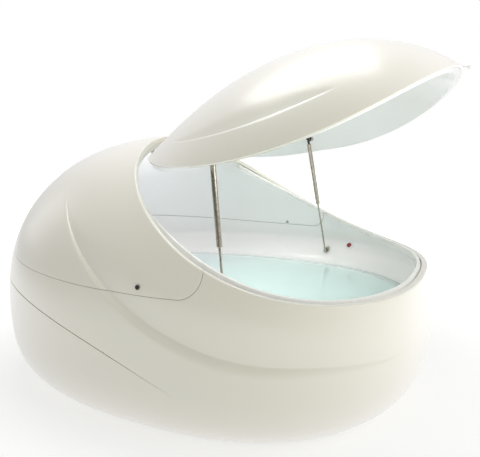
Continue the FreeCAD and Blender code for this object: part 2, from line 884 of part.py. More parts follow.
def build_hinge(word, side):
    """Goose-neck bracket on the hood, leaf under the lid's skin, and pin."""
    middle = side * size("hinge_spacing") / 2
    half = "hinge_bracket_width / 2"
    eye = "hinge_eye_radius"
    outline = [
        ("0 - " + eye, "0 - 2 * hinge_eye_radius"),
        ("0 - " + eye, "0 - hinge_bracket_drop + hinge_bracket_width"),
        ("hinge_bracket_width - hinge_bracket_reach", "0 - hinge_bracket_drop + hinge_bracket_width"),
        ("hinge_bracket_width - hinge_bracket_reach", "hinge_depth"),
        ("0 - hinge_bracket_reach", "hinge_depth"),
        ("0 - hinge_bracket_reach", "0 - hinge_bracket_drop + " + half),
        ("0 - hinge_bracket_reach + " + half, "0 - hinge_bracket_drop"),
        (eye + " - " + half, "0 - hinge_bracket_drop"),
        (eye, "0 - hinge_bracket_drop + " + half),
        (eye, "0 - 2 * hinge_eye_radius"),
    ]
    body, sketch = sketch_body("hinge_plate_" + word, "XZ_Plane", outline)
    pad = body.newObject("PartDesign::Pad", "hinge_pad_" + word)
    pad.Profile = sketch
    bind(pad, Length=cell("hinge_bracket_thickness"))
    pad.Midplane = True
    sketch.Visibility = False
    place = Vector(HINGE_POINT.x, middle, HINGE_POINT.z)
    body.Placement = Placement(place, Rotation())
    across = Placement(place - Vector(0, size("hinge_bracket_thickness") / 2, 0), facing_side(LEFT))
    knuckle = cylinder("hinge_knuckle_" + word, "hinge_eye_radius", "hinge_bracket_thickness", across)
    bore = cylinder("hinge_bore_" + word, "hinge_pin_radius + running_clearance",
                    "hinge_bracket_thickness", across)
    foot = common("hinge_foot_" + word, body, DOCUMENT.getObject("cabin_hollow"))
    neck = box("hinge_neck_" + word, "2 * hinge_eye_radius", "hinge_bracket_thickness",
               "hinge_bracket_drop - hinge_bracket_width / 2",
               Placement(place - Vector(0, 0, size("hinge_bracket_drop") - size("hinge_bracket_width") / 2),
                         Rotation()))
    arm = fuse("hinge_arm_" + word, [foot, neck, knuckle])
    keep(cut("hinge_bracket_" + word, arm, bore), "hinge_bracket_" + word)

    cheeks = []
    step = size("hinge_bracket_thickness") / 2 + size("side_clearance")
    cheek_height = size("hinge_eye_radius") + size("seat_clearance") * 2
    for number, shift in enumerate((step, -step - size("hinge_cheek_thickness"))):
        start = Placement(Vector(HINGE_POINT.x, middle + shift, HINGE_POINT.z), facing_side(LEFT))
        cheeks.append(cylinder("hinge_cheek_%s_%d" % (word, number), "hinge_eye_radius",
                               "hinge_cheek_thickness", start))
        web = Placement(Vector(HINGE_POINT.x, middle + shift + size("hinge_cheek_thickness") / 2,
                               HINGE_POINT.z), Rotation())
        cheeks.append(box("hinge_web_%s_%d" % (word, number), "2 * hinge_eye_radius",
                          "hinge_cheek_thickness", "hinge_depth", web))
    plate_place = Placement(Vector(HINGE_POINT.x, middle, HINGE_POINT.z + cheek_height), Rotation())
    plate = box("hinge_leaf_plate_" + word, "hinge_leaf_length",
                "hinge_bracket_thickness + 2 * hinge_cheek_thickness + 2 * side_clearance",
                "hinge_depth", plate_place)
    leaf = fuse("hinge_leaf_fused_" + word, cheeks + [plate])
    pin_length = "hinge_bracket_thickness + 2 * hinge_cheek_thickness + 2 * side_clearance"
    pin_start = Placement(Vector(HINGE_POINT.x, middle - step - size("hinge_cheek_thickness"),
                                 HINGE_POINT.z), facing_side(LEFT))
    leaf_bore = cylinder("hinge_leaf_bore_" + word, "hinge_pin_radius", pin_length, pin_start)
    bored = cut("hinge_leaf_bored_" + word, leaf, leaf_bore)
    shut_leaf = common("hinge_leaf_shut_" + word, bored, DOCUMENT.getObject("under_lid_skin"))
    shut_leaf.Placement = LID_SWING
    keep(shut_leaf, "hinge_leaf_" + word)
    pin = cylinder("hinge_pin_" + word, "hinge_pin_radius", pin_length, LID_SWING.multiply(pin_start))
    keep(pin, "hinge_pin_" + word)


# -- gas struts -------------------------------------------------------------------------

def build_strut(word, side):
    line = strut_line(side)
    bore = "strut_rod_radius + running_clearance"
    inner = "strut_tube_radius - strut_tube_wall"
    tube_end = TUBE_START + " + strut_tube_length"
    tube = turned_body("strut_tube_" + word, [
        (bore, TUBE_START),
        ("strut_tube_radius - strut_tube_wall", TUBE_START),
        ("strut_tube_radius", TUBE_START + " + strut_tube_wall"),
        ("strut_tube_radius", tube_end),
        ("0", tube_end),
        ("0", tube_end + " - strut_piston_gap"),
        (inner, tube_end + " - strut_piston_gap"),
        (inner, TUBE_START + " + strut_gland_length"),
        (bore, TUBE_START + " + strut_gland_length"),
    ], line)
    keep(tube, "strut_tube_" + word)
    piston = TUBE_START + " + strut_gland_length + strut_piston_gap"
    rod = turned_body("strut_rod_" + word, [
        ("0", "socket_neck_length"),
        ("strut_rod_radius", "socket_neck_length"),
        ("strut_rod_radius", piston),
        (inner + " - running_clearance", piston),
        (inner + " - running_clearance", piston + " + strut_piston_length"),
        ("0", piston + " + strut_piston_length"),
    ], line)
    keep(rod, "strut_rod_" + word)

    foot = strut_foot(side)
    outwards = facing_side(side)
    half_socket = Vector(0, side * size("socket_width") / 2, 0)
    barrel = cylinder("foot_barrel_" + word, "socket_radius", "socket_width",
                      Placement(foot - half_socket, outwards))
    neck = cylinder("foot_neck_" + word, "socket_radius - socket_neck_step", "socket_neck_length", line)
    blank = fuse("foot_blank_" + word, [barrel, neck])
    pocket = sphere("foot_pocket_" + word, "ball_radius + running_clearance",
                    Placement(foot, outwards))
    mouth = cylinder("foot_mouth_" + word, "ball_radius * 0.9", "socket_width",
                     Placement(foot, outwards))
    pocketed = cut("foot_pocketed_" + word, blank, fuse("foot_hollow_" + word, [pocket, mouth]))
    keep(pocketed, "strut_foot_socket_" + word)

    head = strut_head(side)
    head_barrel = cylinder("head_barrel_" + word, "socket_radius", "socket_width",
                           Placement(head - half_socket, outwards))
    back = Placement(head, turn_from_z(strut_foot(side) - head))
    head_neck = cylinder("head_neck_" + word, "socket_radius - socket_neck_step",
                         "strut_end_gap", back)
    keep(fuse("strut_head_socket_" + word, [head_barrel, head_neck]), "strut_head_socket_" + word)

    base_start = foot + half_socket + Vector(0, side * size("stud_base_gap"), 0)
    ball = sphere("foot_ball_" + word, "ball_radius", Placement(foot, outwards))
    stud = cylinder("foot_stud_" + word, "stud_radius", "socket_width / 2 + stud_base_gap + stud_seat",
                    Placement(foot, outwards))
    base = cylinder("foot_base_" + word, "stud_base_radius", str(8 * OVERCUT),
                    Placement(base_start, outwards))
    seated = common("foot_base_seated_" + word, base, DOCUMENT.getObject("cabin_hollow"))
    keep(fuse("strut_foot_stud_" + word, [ball, stud, seated]), "strut_foot_stud_" + word)

    shut_head = LID_SWING.inverse().multVec(head)
    stud_start = shut_head + half_socket + Vector(0, side * size("open_pivot_gap"), 0)
    cap = cylinder("head_cap_" + word, "socket_radius - side_clearance", "ball_radius / 2",
                   Placement(stud_start, outwards))
    head_stud = cylinder("head_stud_" + word, "stud_radius", "ball_radius / 2 + stud_base_gap + stud_seat",
                         Placement(stud_start, outwards))
    base_start = stud_start + Vector(0, side * (size("ball_radius") / 2 + size("stud_base_gap")), 0)
    head_base = cylinder("head_base_" + word, "stud_base_radius", str(8 * OVERCUT),
                         Placement(base_start, outwards))
    head_whole = fuse("head_whole_" + word, [cap, head_stud, head_base])
    seated_head = common("strut_head_stud_shut_" + word, head_whole, DOCUMENT.getObject("under_lid_liner"))
    seated_head.Placement = LID_SWING
    keep(seated_head, "strut_head_stud_" + word)


# -- bolts, call button and wall fittings ---------------------------------------------------

def build_bolt(word, side):
    frame = skin_frame(size("bolt_x"), size("bolt_height"), side)
    bolt = turned_body("hood_bolt_" + word, [
        ("0", "0 - liner_inset - bolt_head_height"),
        ("bolt_radius", "0 - liner_inset - bolt_head_height"),
        ("bolt_radius", "seat_clearance"),
        ("bolt_head_radius", "seat_clearance"),
        ("bolt_head_radius", "bolt_head_height / 3"),
        ("bolt_head_radius * 0.7", "bolt_head_height * 0.85"),
        ("bolt_head_radius * 0.35", "bolt_head_height"),
        ("0", "bolt_head_height"),
    ], frame)
    keep(bolt, "hood_bolt_" + word)
    nut = turned_body("hood_nut_blank_" + word, [
        ("bolt_radius", "0 - liner_inset + bolt_head_radius"),
        ("bolt_head_radius * 0.9", "0 - liner_inset + bolt_head_radius"),
        ("bolt_head_radius * 0.9", "0 - liner_inset - bolt_head_height"),
        ("bolt_head_radius * 0.5", "0 - liner_inset - bolt_head_height * 2"),
        ("0", "0 - liner_inset - bolt_head_height * 2"),
        ("0", "0 - liner_inset - bolt_head_height"),
        ("bolt_radius", "0 - liner_inset - bolt_head_height"),
    ], frame)
    keep(common("hood_nut_" + word, nut, DOCUMENT.getObject("cabin_hollow")), "hood_nut_" + word)


def button_frame():
    return basin_wall_frame(size("button_x"), size("button_height"), LEFT)


def seated_flange(name, radius, height, frame):
    """Flange with a rounded edge whose back follows the basin's wall."""
    flange = turned_body(name + "_flange", [
        ("0", height),
        (radius + " - ring_round", height),
        (radius, height + " / 2"),
        (radius, "0 - seat_reach"),
        ("0", "0 - seat_reach"),
    ], frame)
    return common(name + "_seat", flange, DOCUMENT.getObject("cabin_hollow"))


def build_call_button():
    frame = button_frame()
    flange = seated_flange("bezel", "bezel_radius", "bezel_height", frame)
    tail = turned_body("bezel_tail", [
        ("0", "bezel_height / 2"),
        ("button_radius + bezel_wall", "bezel_height / 2"),
        ("button_radius + bezel_wall", "0 - bezel_tail_length"),
        ("0", "0 - bezel_tail_length"),
    ], frame)
    bore_floor = "bezel_height - button_depth - button_travel - side_clearance"
    bore = turned_body("bezel_bore", [
        ("0", "bezel_height * 2"),
        ("button_radius + running_clearance", "bezel_height * 2"),
        ("button_radius + running_clearance", bore_floor),
        ("0", bore_floor),
    ], frame)
    blank = fuse("bezel_blank", [flange, tail])
    keep(cut("call_button_bezel", blank, bore), "call_button_bezel")
    cap = turned_body("call_button_cap", [
        ("0", "bezel_height - button_depth"),
        ("button_radius", "bezel_height - button_depth"),
        ("button_radius", "bezel_height + button_travel + side_clearance"),
        ("button_radius * 0.8", "bezel_height + button_travel + 3 * side_clearance"),
        ("button_radius * 0.4", "bezel_height + button_travel + 4 * side_clearance"),
        ("0", "bezel_height + button_travel + 4 * side_clearance"),
    ], frame)
    keep(cap, "call_button_cap")


def fitting_frame(word):
    """Placement of a wall fitting: suction by the pump, return by the heater."""
    if word == "suction":
        return basin_wall_frame(-size("fitting_x"), size("fitting_z"), RIGHT)
    return basin_wall_frame(size("fitting_x"), size("fitting_z"), LEFT)


def build_fitting(word):
    frame = fitting_frame(word)
    flange = seated_flange(word, "fitting_radius", "fitting_height", frame)
    tail = turned_body(word + "_fitting_tail", [
        ("0", "fitting_height / 2"),
        ("fitting_tail_radius", "fitting_height / 2"),
        ("fitting_tail_radius", "0 - fitting_tail_length"),
        ("0", "0 - fitting_tail_length"),
    ], frame)
    bore = turned_body(word + "_fitting_bore", [
        ("0", "fitting_height * 2"),
        ("pipe_radius", "fitting_height * 2"),
        ("pipe_radius", "0 - fitting_tail_length * 2"),
        ("0", "0 - fitting_tail_length * 2"),
    ], frame)
    blank = fuse(word + "_fitting_blank", [flange, tail])
    keep(cut(word + "_fitting", blank, bore), word + "_fitting")


# -- base frame and plant ----------------------------------------------------------------------

def build_base():
    rail_bottom = size("foot_height")
    middle_rails = []
    for word, side in SIDES.items():
        place = Placement(Vector(0, side * size("rail_half_spacing"), rail_bottom), Rotation())
        middle_rails.append(box("long_rail_" + word, "2 * rail_half_length", "rail_width",
                                "rail_height", place))
    for number in (-1, 0, 1):
        place = Placement(Vector(number * size("cross_rail_spacing"), 0, rail_bottom), Rotation())
        middle_rails.append(box("cross_rail_%d" % (number + 1), "rail_width", "2 * body_half_width",
                                "rail_height", place))
    ladder = fuse("ladder", middle_rails)
    keep(common("base_frame", ladder, DOCUMENT.getObject("inside_shell")), "base_frame")

    feet = []
    for row in (-1, 0, 1):
        for column in (-1, 0, 1):
            place = Vector(row * size("cross_rail_spacing"), column * size("rail_half_spacing"), 0)
            feet.append(cylinder("foot_%d_%d" % (row + 1, column + 1), "foot_radius",
                                 "foot_height", Placement(place, Rotation())))
    pads = DOCUMENT.addObject("Part::Compound", "foot_pads")
    pads.Links = feet
    keep(pads, "foot_pads")

    saddles = []
    for number in (-1, 0, 1):
        place = Placement(Vector(number * size("saddle_spacing"), 0,
                                 rail_bottom + size("rail_height")), Rotation())
        saddles.append(box("saddle_block_%d" % (number + 1), "saddle_length", "2 * saddle_half_width",
                           "basin_floor_height", place))
    row = fuse("saddle_row", saddles)
    keep(cut("basin_saddles", row, DOCUMENT.getObject("basin_outside")), "basin_saddles")


def pipe_along(start, corner, end):
    """Bent tube from the start past one corner to the end."""
    first = (corner - start).normalize()
    second = (end - corner).normalize()
    turn = first.getAngle(second)
    bend = size("pipe_bend")
    enter = corner - first * bend * math.tan(turn / 2)
    leave = corner + second * bend * math.tan(turn / 2)
    aside = (second - first).normalize()
    middle = corner + aside * (bend / math.cos(turn / 2) - bend)
    path = Part.Wire([Part.makeLine(start, enter), arc(enter, middle, leave), Part.makeLine(leave, end)])
    tubes = []
    for radius in (size("pipe_radius"), size("pipe_radius") - size("pipe_wall")):
        ring = Part.Wire(Part.makeCircle(radius, start, first))
        tubes.append(path.makePipeShell([ring], True, True))
    return tubes[0].cut(tubes[1])


def straight_pipe(name, length, placement):
    outer = cylinder(name + "_outside", "pipe_radius", length, placement)
    inner = cylinder(name + "_bore", "pipe_radius - pipe_wall", length, placement)
    return cut(name + "_tube", outer, inner)


def build_plant():
    """Pump and control box on the right tray, filter and heater on the left one."""
    rail_top = size("foot_height") + size("rail_height")
    floor = rail_top + size("tray_thickness")
    left, right = size("plant_side"), -size("plant_side")
    along = turn_from_z(Vector(1, 0, 0))
    for word, side in SIDES.items():
        board = box("tray_board_" + word, "tray_length", "tray_width", "tray_thickness",
                    Placement(Vector(0, side * size("plant_side"), rail_top), Rotation()))
        keep(common("plant_tray_" + word, board, DOCUMENT.getObject("inside_shell")), "plant_tray_" + word)

    pump_axis = floor + size("pump_radius")
    pump_start = size("pump_x") - size("pump_length") / 2
    volute = cylinder("pump_volute", "pump_radius", "pump_length",
                      Placement(Vector(pump_start, right, pump_axis), along))
    motor = cylinder("pump_motor", "pump_motor_radius", "pump_motor_length",
                     Placement(Vector(pump_start + size("pump_length"), right, pump_axis), along))
    pump = keep(fuse("pump", [volute, motor]), "pump")
    filter_start = Vector(size("filter_x") - size("filter_length") / 2, left, floor + size("filter_radius"))
    canister = keep(cylinder("filter_canister", "filter_radius", "filter_length",
                             Placement(filter_start, along)), "filter_canister")
    heater_start = Vector(size("heater_x") - size("heater_length") / 2, left, floor + size("heater_radius"))
    heater = keep(cylinder("water_heater", "heater_radius", "heater_length",
                           Placement(heater_start, along)), "water_heater")
    keep(box("control_box", "control_box_length", "control_box_width", "control_box_height",
             Placement(Vector(size("control_box_x"), right, floor), Rotation())), "control_box")

    for name, word, side, target in (("suction_pipe", "suction", right, pump),
                                     ("return_pipe", "return", left, heater)):
        frame = fitting_frame(word)
        outward = frame.Rotation.multVec(Vector(0, 0, -1))
        start = frame.Base + outward * size("fitting_tail_length")
        corner = start + outward * ((side - start.y) / outward.y)
        end = Vector(corner.x, corner.y, floor + size("heater_radius"))
        run = add_form(name + "_run", pipe_along(start, corner, end))
        keep(cut(name, run, target), name)

    level = floor + size("pipe_radius") + size("pipe_wall")
    crossover = straight_pipe("crossover", "2 * plant_side",
                              Placement(Vector(size("crossover_x"), right, level), facing_side(LEFT)))
    ends = fuse("crossover_ends", [pump, canister])
    keep(cut("crossover_pipe", crossover, ends), "crossover_pipe")
    link_start = filter_start + Vector(size("filter_length"), 0, 0)
    link_start.z = heater_start.z
    keep(straight_pipe("link", "heater_x - heater_length / 2 - filter_x - filter_length / 2",
                       Placement(link_start, along)), "filter_link_pipe")


# -- assembly -------------------------------------------------------------------------------------

def check_document():
    """Every object computed, every sub-part a valid solid."""
    faults = []
    for item in DOCUMENT.Objects:
        if "Invalid" in item.State or "Error" in item.State:
            faults.append(item.Name)
    for node in NODES:
        shape = node.Shape
        if shape.isNull() or not shape.isValid() or not shape.Solids or shape.Volume <= 0:
            faults.append(node.Label)
    if faults:
        raise ValueError("failed objects: " + ", ".join(faults))


def main():
    add_form("cabin_hollow", sectioned_solid(basin_levels(0)))
    add_form("basin_outside", sectioned_solid(basin_levels(size("liner_wall") + size("seat_clearance"))))
    add_form("under_lid_skin", egg(size("lid_wall") + size("seat_clearance")))
    add_form("under_lid_liner", egg(size("lid_depth") + size("seat_clearance")))
    add_form("inside_shell", egg(size("shell_wall") + size("seat_clearance")))
    build_outer_mouldings()
    build_liners()
    build_joint_strip()
    build_rim_seal()
    build_lid()
    build_knob()
    for word, side in SIDES.items():
        build_hinge(word, side)
        build_strut(word, side)
        build_bolt(word, side)
    build_call_button()
    build_fitting("suction")
    build_fitting("return")
    build_base()
    build_plant()
    DOCUMENT.recompute()
    check_document()
    os.makedirs("parts", exist_ok=True)
    for node in NODES:
        node.Shape.exportStep("parts/%s.step" % node.Label)
    print("%d sub-parts written" % len(NODES))


main()
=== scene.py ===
import json
import math
from collections import namedtuple

import bpy
import numpy as np
from mathutils import Matrix, Vector


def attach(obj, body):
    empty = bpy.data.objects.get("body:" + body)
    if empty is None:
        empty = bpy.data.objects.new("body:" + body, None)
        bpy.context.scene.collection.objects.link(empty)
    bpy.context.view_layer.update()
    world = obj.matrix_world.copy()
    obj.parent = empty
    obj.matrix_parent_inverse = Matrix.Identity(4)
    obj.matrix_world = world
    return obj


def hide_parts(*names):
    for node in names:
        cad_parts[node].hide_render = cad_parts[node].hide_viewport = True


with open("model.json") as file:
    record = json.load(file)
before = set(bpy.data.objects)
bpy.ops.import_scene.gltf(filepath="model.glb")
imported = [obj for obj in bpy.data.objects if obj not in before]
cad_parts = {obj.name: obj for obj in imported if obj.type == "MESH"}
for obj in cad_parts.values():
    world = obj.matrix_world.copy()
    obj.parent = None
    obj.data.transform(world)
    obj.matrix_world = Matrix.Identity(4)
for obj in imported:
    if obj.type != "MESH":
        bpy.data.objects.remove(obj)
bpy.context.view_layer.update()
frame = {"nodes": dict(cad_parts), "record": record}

NODES = frame["nodes"]


# -- camera ----------------------------------------------------------------------

CAMERA_PLACE = Vector((1.3327, -2.1993, 1.2254))
CAMERA_RIGHT = Vector((0.88911, 0.45609, -0.03829))
CAMERA_UP = Vector((-0.05186, 0.18352, 0.98164))
CAMERA_FORWARD = Vector((-0.45475, 0.87080, -0.18683))
SENSOR_WIDTH = 36.0
FOCAL_LENGTH = 36.156
FARTHEST_VIEW = 60.0


def place_camera():
    """Camera on the right, towards the foot end, framed for 480 by 457."""
    data = bpy.data.cameras.new("camera")
    data.sensor_fit = "HORIZONTAL"
    data.sensor_width = SENSOR_WIDTH
    data.lens = FOCAL_LENGTH
    data.clip_end = FARTHEST_VIEW
    camera = bpy.data.objects.new("camera", data)
    bpy.context.collection.objects.link(camera)
    axes = Matrix((CAMERA_RIGHT, CAMERA_UP, -CAMERA_FORWARD)).transposed()
    camera.matrix_world = Matrix.Translation(CAMERA_PLACE) @ axes.to_4x4()
    bpy.context.scene.camera = camera


# -- node helpers ------------------------------------------------------------------

class Tree:
    """A node tree with short calls for adding and joining nodes."""

    def __init__(self, owner):
        owner.use_nodes = True
        self.tree = owner.node_tree
        self.tree.nodes.clear()

    def add(self, kind, **settings):
        node = self.tree.nodes.new(kind)
        for key, value in settings.items():
            setattr(node, key, value)
        return node

    def link(self, source, target):
        self.tree.links.new(source, target)

    def math(self, operation, *values):
        node = self.add("ShaderNodeMath", operation=operation)
        for socket, value in zip(node.inputs, values):
            if isinstance(value, (int, float)):
                socket.default_value = value
            else:
                self.link(value, socket)
        return node.outputs[0]

    def mix(self, factor, first, second):
        """Blend of two colours, each a tuple or a socket."""
        node = self.add("ShaderNodeMix", data_type="RGBA")
        self.link(factor, node.inputs[0])
        for socket, value in ((node.inputs[6], first), (node.inputs[7], second)):
            if isinstance(value, tuple):
                socket.default_value = value + (1.0,)
            else:
                self.link(value, socket)
        return node.outputs[2]

    def span(self, value, low, high, out_low=0.0, out_high=1.0):
        """Smooth step from one range to another."""
        node = self.add("ShaderNodeMapRange", interpolation_type="SMOOTHSTEP")
        self.link(value, node.inputs[0])
        for index, number in enumerate((low, high, out_low, out_high), start=1):
            node.inputs[index].default_value = number
        return node.outputs[0]

    def place(self, kind="Object"):
        return self.add("ShaderNodeTexCoord").outputs[kind]

    def parts(self, vector):
        """The x, y and z sockets of a vector."""
        node = self.add("ShaderNodeSeparateXYZ")
        self.link(vector, node.inputs[0])
        return node.outputs

    def noise(self, scale, detail=2.0, stretch=None):
        """Noise over the object's own coordinates, in metres."""
        place = self.place()
        if stretch:
            mapping = self.add("ShaderNodeMapping")
            mapping.inputs["Scale"].default_value = stretch
            self.link(place, mapping.inputs["Vector"])
            place = mapping.outputs[0]
        node = self.add("ShaderNodeTexNoise")
        node.inputs["Scale"].default_value = scale
        node.inputs["Detail"].default_value = detail
        self.link(place, node.inputs["Vector"])
        return node.outputs[0]

    def bump(self, height, strength, distance):
        node = self.add("ShaderNodeBump")
        node.inputs["Strength"].default_value = strength
        node.inputs["Distance"].default_value = distance
        self.link(height, node.inputs["Height"])
        return node.outputs[0]

    def background(self, color):
        """Plain background of a tuple or a socket."""
        node = self.add("ShaderNodeBackground")
        if isinstance(color, tuple):
            node.inputs[0].default_value = color + (1.0,)
        else:
            self.link(color, node.inputs[0])
        return node.outputs[0]

    def mix_shaders(self, factor, first, second):
        node = self.add("ShaderNodeMixShader")
        for socket, value in zip(node.inputs, (factor, first, second)):
            self.link(value, socket)
        return node.outputs[0]


def material(name, color, roughness, normal=None, **sockets):
    """Principled material; color, roughness and normal are built by calls on the tree."""
    made = bpy.data.materials.new(name)
    tree = Tree(made)
    bsdf = tree.add("ShaderNodeBsdfPrincipled")
    output = tree.add("ShaderNodeOutputMaterial")
    tree.link(bsdf.outputs[0], output.inputs[0])
    tree.link(color(tree), bsdf.inputs["Base Color"])
    tree.link(roughness(tree), bsdf.inputs["Roughness"])
    if normal:
        tree.link(normal(tree), bsdf.inputs["Normal"])
    for socket, value in sockets.items():
        bsdf.inputs[socket.replace("_", " ")].default_value = value
    return made


def clouded(first, second, scale):
    """Two close colours clouded into each other."""
    return lambda tree: tree.mix(tree.span(tree.noise(scale), 0.35, 0.65), first, second)


def uneven(low, high, scale):
    """Roughness that wanders between two values."""
    return lambda tree: tree.span(tree.noise(scale, 3.0), 0.3, 0.7, low, high)


def grain(scale, strength, distance, detail=2.0, stretch=None):
    """Fine bumps, or brushed lines where stretched."""
    return lambda tree: tree.bump(tree.noise(scale, detail, stretch), strength, distance)


# -- materials ------------------------------------------------------------------------

# Painted sheen: the shell's colour turns lighter, to a faint pinkish white, where it is seen at a slant.
PAINTED_SHEEN_BLEND = 0.42
PAINTED_SHEEN_COLOR = (0.86, 0.835, 0.80)


def pearl_color_with_painted_sheen(tree):
    """Cream seen square on, with a painted sheen that turns it to a faint pinkish white at a slant."""
    cream = clouded((0.655, 0.643, 0.528), (0.670, 0.658, 0.548), 1.3)(tree)
    # painted sheen: Layer Weight facing lightens the base colour towards the slant colour
    painted_sheen = tree.add("ShaderNodeLayerWeight")
    painted_sheen.inputs["Blend"].default_value = PAINTED_SHEEN_BLEND
    return tree.mix(painted_sheen.outputs["Facing"], cream, PAINTED_SHEEN_COLOR)


def water_color_with_painted_light(tree):
    """Water tint with painted coloured light: bluer towards the head end, greener in the middle."""
    # painted light: the tint of the tank's coloured lamps, blue at the head end and green further along
    along = tree.span(tree.parts(tree.place())[0], -0.9, 0.2)
    return tree.mix(along, (0.80, 0.87, 0.92), (0.66, 0.85, 0.81))


RECIPES = {
    "pearl_shell": dict(
        color=pearl_color_with_painted_sheen,
        roughness=uneven(0.38, 0.41, 3),
        Coat_Weight=0.5, Coat_Roughness=0.24, Coat_IOR=1.5),
    "liner": dict(
        color=clouded((0.80, 0.80, 0.775), (0.82, 0.82, 0.80), 1.5),
        roughness=uneven(0.19, 0.21, 3),
        Coat_Weight=0.4, Coat_Roughness=0.05),
    "seal": dict(
        color=clouded((0.84, 0.84, 0.79), (0.87, 0.87, 0.83), 40),
        roughness=uneven(0.45, 0.6, 60),
        normal=grain(900, 0.1, 0.0004)),
    "steel": dict(
        color=clouded((0.40, 0.37, 0.30), (0.48, 0.45, 0.38), 60),
        roughness=uneven(0.14, 0.26, 400),
        normal=grain(300, 0.08, 0.0003, stretch=(1, 1, 30)),
        Metallic=1.0),
    "black_nylon": dict(
        color=clouded((0.012, 0.012, 0.013), (0.022, 0.022, 0.023), 200),
        roughness=uneven(0.35, 0.5, 300),
        normal=grain(1500, 0.15, 0.0003)),
    "red_button": dict(
        color=clouded((0.20, 0.006, 0.012), (0.25, 0.008, 0.015), 90),
        roughness=uneven(0.15, 0.25, 200),
        Coat_Weight=0.5, Coat_Roughness=0.05),
    "button_bezel": dict(
        color=clouded((0.80, 0.80, 0.77), (0.84, 0.84, 0.82), 90),
        roughness=uneven(0.2, 0.3, 150),
        normal=grain(900, 0.05, 0.0003),
        Coat_Weight=0.3),
    "frame": dict(
        color=clouded((0.30, 0.31, 0.32), (0.36, 0.37, 0.38), 20),
        roughness=uneven(0.4, 0.55, 90),
        normal=grain(600, 0.12, 0.0005)),
    "foot_rubber": dict(
        color=clouded((0.02, 0.02, 0.02), (0.035, 0.035, 0.034), 70),
        roughness=uneven(0.6, 0.8, 100),
        normal=grain(800, 0.3, 0.0006)),
    "foam": dict(
        color=clouded((0.20, 0.23, 0.27), (0.27, 0.30, 0.34), 50),
        roughness=uneven(0.8, 0.95, 120),
        normal=grain(350, 0.6, 0.0012, detail=4.0)),
    "plant": dict(
        color=clouded((0.10, 0.13, 0.17), (0.14, 0.17, 0.21), 25),
        roughness=uneven(0.35, 0.5, 110),
        normal=grain(800, 0.15, 0.0004)),
    "pipe": dict(
        color=clouded((0.62, 0.63, 0.63), (0.70, 0.71, 0.71), 30),
        roughness=uneven(0.25, 0.38, 80),
        normal=grain(500, 0.06, 0.0004)),
    "water": dict(
        color=water_color_with_painted_light,
        roughness=uneven(0.02, 0.035, 6),
        normal=grain(7, 0.12, 0.004, detail=1.5),
        IOR=1.33, Transmission_Weight=0.1, Coat_Weight=0.8, Coat_Roughness=0.01, Coat_IOR=1.33),
}

# Nodes that look better in another slot's finish than in their own.
FINISHES = {
    "hood_bolt_left": "black_nylon",
    "hood_bolt_right": "black_nylon",
    "strut_foot_socket_left": "steel",
    "strut_foot_socket_right": "steel",
    "lid_pull_knob": "button_bezel",
}


def dress_cad_nodes(materials):
    for part in frame["record"]["subparts"]:
        shown = NODES[part["node"]]
        shown.data.materials.clear()
        shown.data.materials.append(materials[FINISHES.get(part["node"], part["material_slot"])])


def show_mesh(name, points, faces):
    """Smooth mesh object linked to the scene."""
    mesh = bpy.data.meshes.new(name)
    mesh.from_pydata(points, [], faces)
    mesh.shade_smooth()
    made = bpy.data.objects.new(name, mesh)
    bpy.context.collection.objects.link(made)
    return made


# -- water, in metres --------------------------------------------------------------------

WATER_HEIGHT = 0.437
BASIN_HALF_LENGTH = 1.040
BASIN_HALF_WIDTH = 0.638
BASIN_DEPTH = 0.287
PLAN_FULLNESS = 2.41
FLOOR_FULLNESS = 3.5
WATER_CLEARANCE = 0.0015
RING_POINTS = 128
RING_STEPS = 16


def corner_ray(angle, fullness):
    """Point of a unit superellipse in the direction of the angle."""
    cosine, sine = math.cos(angle), math.sin(angle)
    reach = (abs(cosine) ** fullness + abs(sine) ** fullness) ** (-1 / fullness)
    return cosine * reach, sine * reach


def water_rings():
    """Girth and height of the rings, out over the surface and then down and in."""
    surface = [(step / RING_STEPS, WATER_HEIGHT) for step in range(1, RING_STEPS + 1)]
    below = []
    for step in range(1, RING_STEPS):
        girth, depth = corner_ray(math.pi / 2 * step / RING_STEPS, FLOOR_FULLNESS)
        below.append((girth, WATER_HEIGHT - depth * (BASIN_DEPTH - WATER_CLEARANCE)))
    return surface + below


def build_water(finish):
    """Closed body of water that fills the basin up to the water line."""
    half_length = BASIN_HALF_LENGTH - WATER_CLEARANCE
    half_width = BASIN_HALF_WIDTH - WATER_CLEARANCE
    outline = [corner_ray(2 * math.pi * index / RING_POINTS, PLAN_FULLNESS) for index in range(RING_POINTS)]
    rings = water_rings()
    points = [(0, 0, WATER_HEIGHT)]
    for girth, height in rings:
        points += [(x * girth * half_length, y * girth * half_width, height) for x, y in outline]
    points.append((0, 0, WATER_HEIGHT - BASIN_DEPTH + WATER_CLEARANCE))
    lowest = len(points) - 1
    starts = [1 + ring * RING_POINTS for ring in range(len(rings))]
    faces = []
    for index in range(RING_POINTS):
        after = (index + 1) % RING_POINTS
        faces.append((0, 1 + index, 1 + after))
        for start, below in zip(starts, starts[1:]):
            faces.append((start + index, below + index, below + after, start + after))
        faces.append((starts[-1] + index, lowest, starts[-1] + after))
    water = show_mesh("water", points, faces)
    water.data.materials.append(finish)
    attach(water, "tank_body")


# -- forms of the outer mouldings, in millimetres ----------------------------------------------

HALF_LENGTH, HALF_WIDTH = 1126.0, 850.0
BELT, CROWN, TUCK = 366.0, 1246.0, 487.0
CROWN_FULLNESS, TUCK_FULLNESS = 2.33, 3.0
CROWN_NARROWING, CROWN_SETBACK = 1.25, 106.0
FLOOR_GAP = 6.0
LID_GAP = 8.0
BODY_WALL, LID_WALL = 24.0, 12.0
MM_PER_METRE = 1000
HINGE = np.array([-93.0, 0.0, 1214.0])
OPEN_ANGLE = math.radians(37.5)

